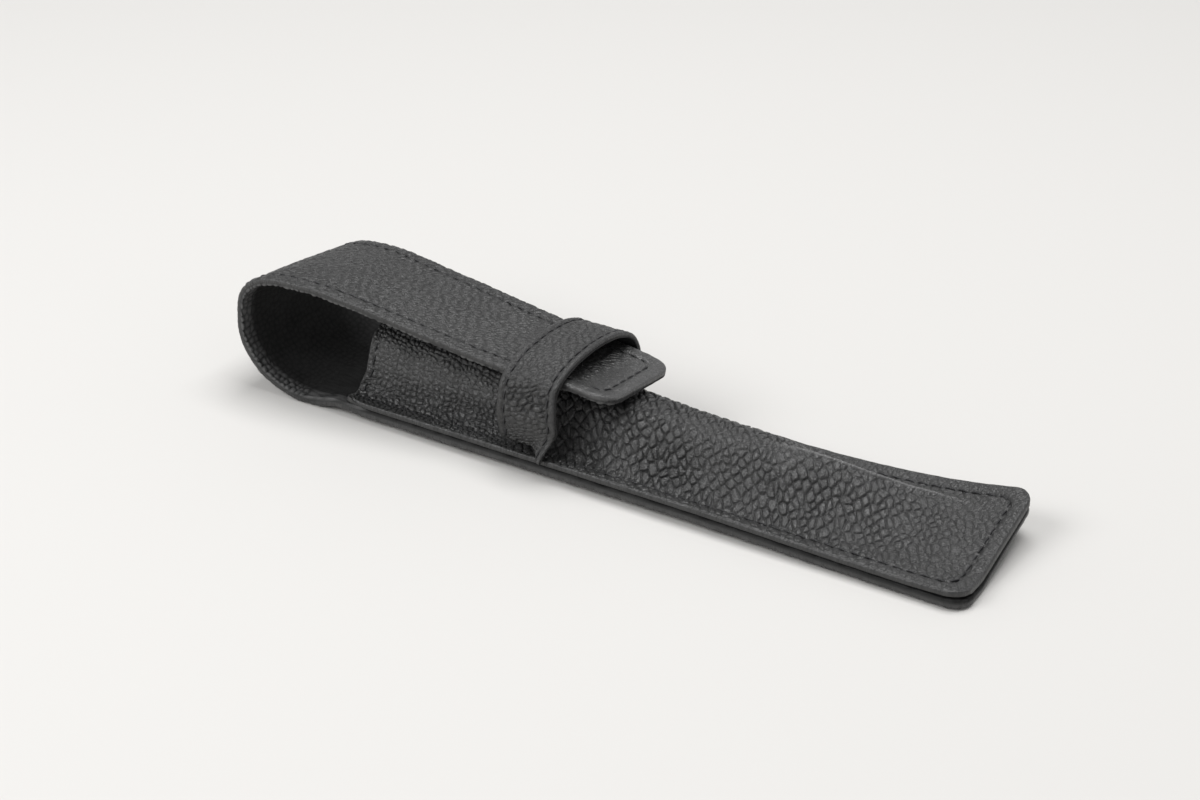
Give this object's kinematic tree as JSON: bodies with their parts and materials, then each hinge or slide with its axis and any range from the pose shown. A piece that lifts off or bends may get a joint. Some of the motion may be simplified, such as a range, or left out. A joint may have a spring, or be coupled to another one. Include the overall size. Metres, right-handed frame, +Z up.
{
  "type": "single pen sleeve",
  "caption": "Flat leather sleeve for a single pen: a sewn, moulded pocket whose back folds over the mouth, with a tongue held under a strap across the front.",
  "frame": {"origin": "centre of the bounding box at its bottom, on the surface the sleeve lies on", "axes": "+X along the sleeve from the fold to the closed end, +Y across it away from the near long edge, +Z up out of the front panel"},
  "size_m": [0.1756, 0.0388, 0.0282],
  "materials": {
    "outer_leather": "pebbled, satin",
    "lining_leather": "smooth, matt",
    "thread": "waxed thread"
  },
  "bodies": {
    "pocket": {"back_outer": "outer_leather", "back_lining": "lining_leather", "front_outer": "outer_leather", "front_lining": "lining_leather", "seam_thread": "thread", "mouth_thread": "thread", "strap_outer": "outer_leather", "strap_lining": "lining_leather", "strap_thread": "thread", "fold_outer": "outer_leather", "fold_lining": "lining_leather", "fold_thread": "thread"},
    "flap": {"flap_outer": "outer_leather", "flap_lining": "lining_leather", "flap_thread": "thread"}
  },
  "joints": [
    {"name": "flap_pull", "type": "slide", "parent": "pocket", "child": "flap", "axis": [-0.9996, 0, 0.03], "range_m": [0, 0.025], "deforming": ["fold_outer", "fold_lining", "fold_thread"]}
  ]
}
